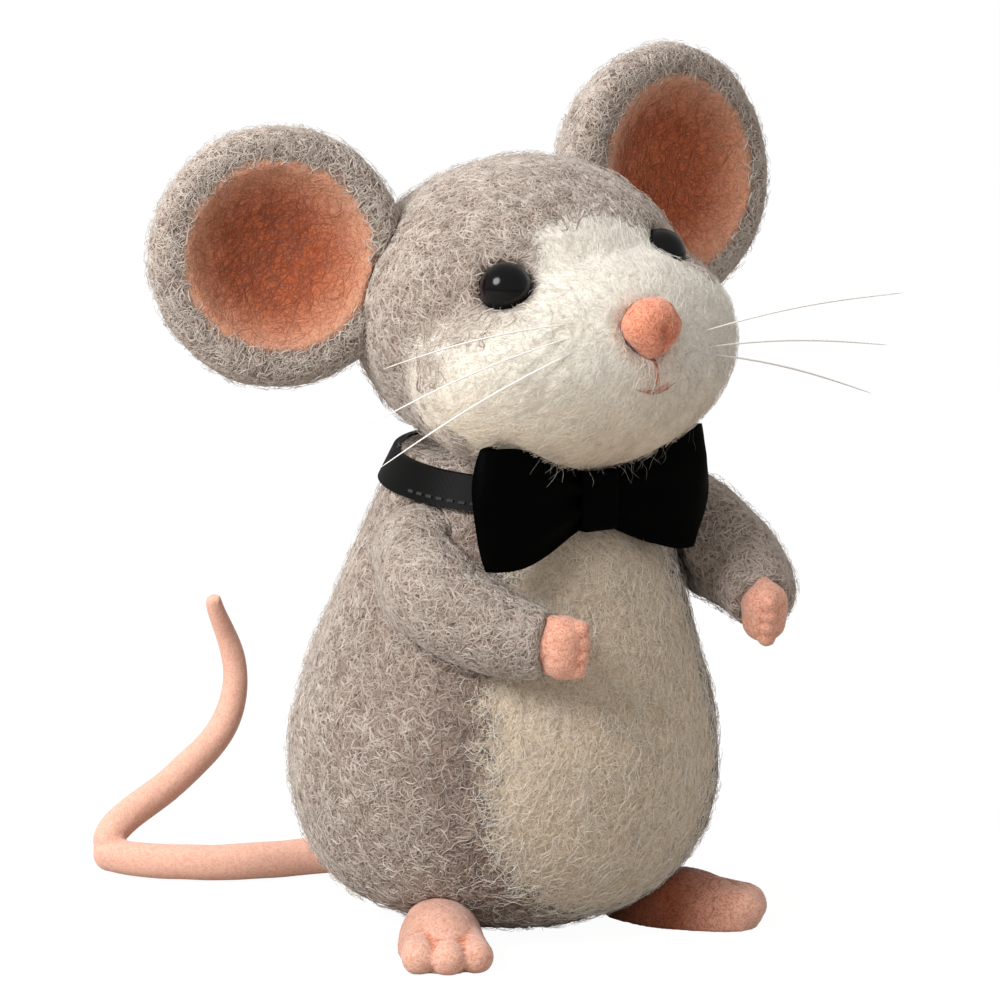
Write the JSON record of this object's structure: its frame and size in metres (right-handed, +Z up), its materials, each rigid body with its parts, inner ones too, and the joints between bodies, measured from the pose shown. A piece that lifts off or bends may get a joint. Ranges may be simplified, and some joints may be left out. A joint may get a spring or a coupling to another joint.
{
  "type": "poseable felted mouse figure",
  "caption": "Standing mouse figure of needle-felted wool over a wire armature, with bead eyes, bristle whiskers, cupped ears, a curled tail and a ribbon bow tie.",
  "frame": {"origin": "middle of the torso's small flat base, on the surface that the figure stands on", "axes": "+Z up, the mouse looks along -Y, +X towards its own left side"},
  "size_m": [0.0837, 0.0761, 0.102],
  "materials": {
    "grey_wool": "felted wool, marled grey-brown",
    "white_wool": "felted wool, warm white",
    "core_wool": "firm undyed felted wool",
    "pink_wool": "felted wool, peach pink",
    "ear_wool": "felted wool, deep peach",
    "tail_wool": "wrapped wool, light peach",
    "eye_glass": "polished opaque black glass",
    "wire": "annealed steel wire",
    "bristle": "clear-white bristle",
    "ribbon": "black satin ribbon",
    "thread": "black sewing thread"
  },
  "bodies": {
    "torso": {"torso_core": "core_wool", "torso_coat": "grey_wool", "belly_patch": "white_wool", "spine_wire": "wire", "shoulder_wire": "wire", "leg_wire_left": "wire", "leg_wire_right": "wire", "foot_left": "pink_wool", "foot_right": "pink_wool"},
    "neck": {"neck_wire": "wire"},
    "head": {"head_core": "core_wool", "head_coat": "grey_wool", "face_mask": "white_wool", "nose": "pink_wool", "mouth_stitch": "pink_wool", "eye_left": "eye_glass", "eye_right": "eye_glass", "eye_shank_left": "wire", "eye_shank_right": "wire", "ear_left": "grey_wool", "ear_right": "grey_wool", "ear_lining_left": "ear_wool", "ear_lining_right": "ear_wool", "whisker_left_1": "bristle", "whisker_left_2": "bristle", "whisker_left_3": "bristle", "whisker_right_1": "bristle", "whisker_right_2": "bristle", "whisker_right_3": "bristle"},
    "arm_left": {"arm_left": "grey_wool", "paw_left": "pink_wool", "arm_wire_left": "wire"},
    "arm_right": {"arm_right": "grey_wool", "paw_right": "pink_wool", "arm_wire_right": "wire"},
    "tail": {"tail_base": "tail_wool", "tail_base_wire": "wire"},
    "tail_tip": {"tail_curl": "tail_wool", "tail_curl_wire": "wire"},
    "collar": {"collar_strap": "ribbon", "strap_stitches": "thread", "bow_knot": "ribbon", "bow_wing_left": "ribbon", "bow_wing_right": "ribbon"}
  },
  "joints": [
    {"name": "neck_nod", "type": "hinge", "parent": "torso", "child": "neck", "pos_m": [0, -0.004, 0.0455], "axis": [1, 0, 0], "range_deg": [-8, 1]},
    {"name": "neck_turn", "type": "hinge", "parent": "neck", "child": "head", "pos_m": [0, -0.004, 0.06], "axis": [0, 0, 1], "range_deg": [-12, 15]},
    {"name": "shoulder_left", "type": "hinge", "parent": "torso", "child": "arm_left", "pos_m": [0.0145, -0.004, 0.0455], "axis": [0, 0, 1], "range_deg": [-10, 25]},
    {"name": "shoulder_right", "type": "hinge", "parent": "torso", "child": "arm_right", "pos_m": [-0.0145, -0.004, 0.0455], "axis": [0, 0, -1], "range_deg": [-3, 35]},
    {"name": "tail_swing", "type": "hinge", "parent": "torso", "child": "tail", "pos_m": [-0.003, 0.0194, 0.0036], "axis": [0, 0, 1], "range_deg": [-15, 15]},
    {"name": "tail_turn", "type": "hinge", "parent": "tail", "child": "tail_tip", "pos_m": [-0.0296, 0.0413, 0.0027], "axis": [0, 0, 1], "range_deg": [-25, 25]},
    {"name": "collar_turn", "type": "hinge", "parent": "torso", "child": "collar", "pos_m": [0, -0.002, 0.054], "axis": [0, -0.0872, 0.9962], "range_deg": [-6, 6]}
  ]
}
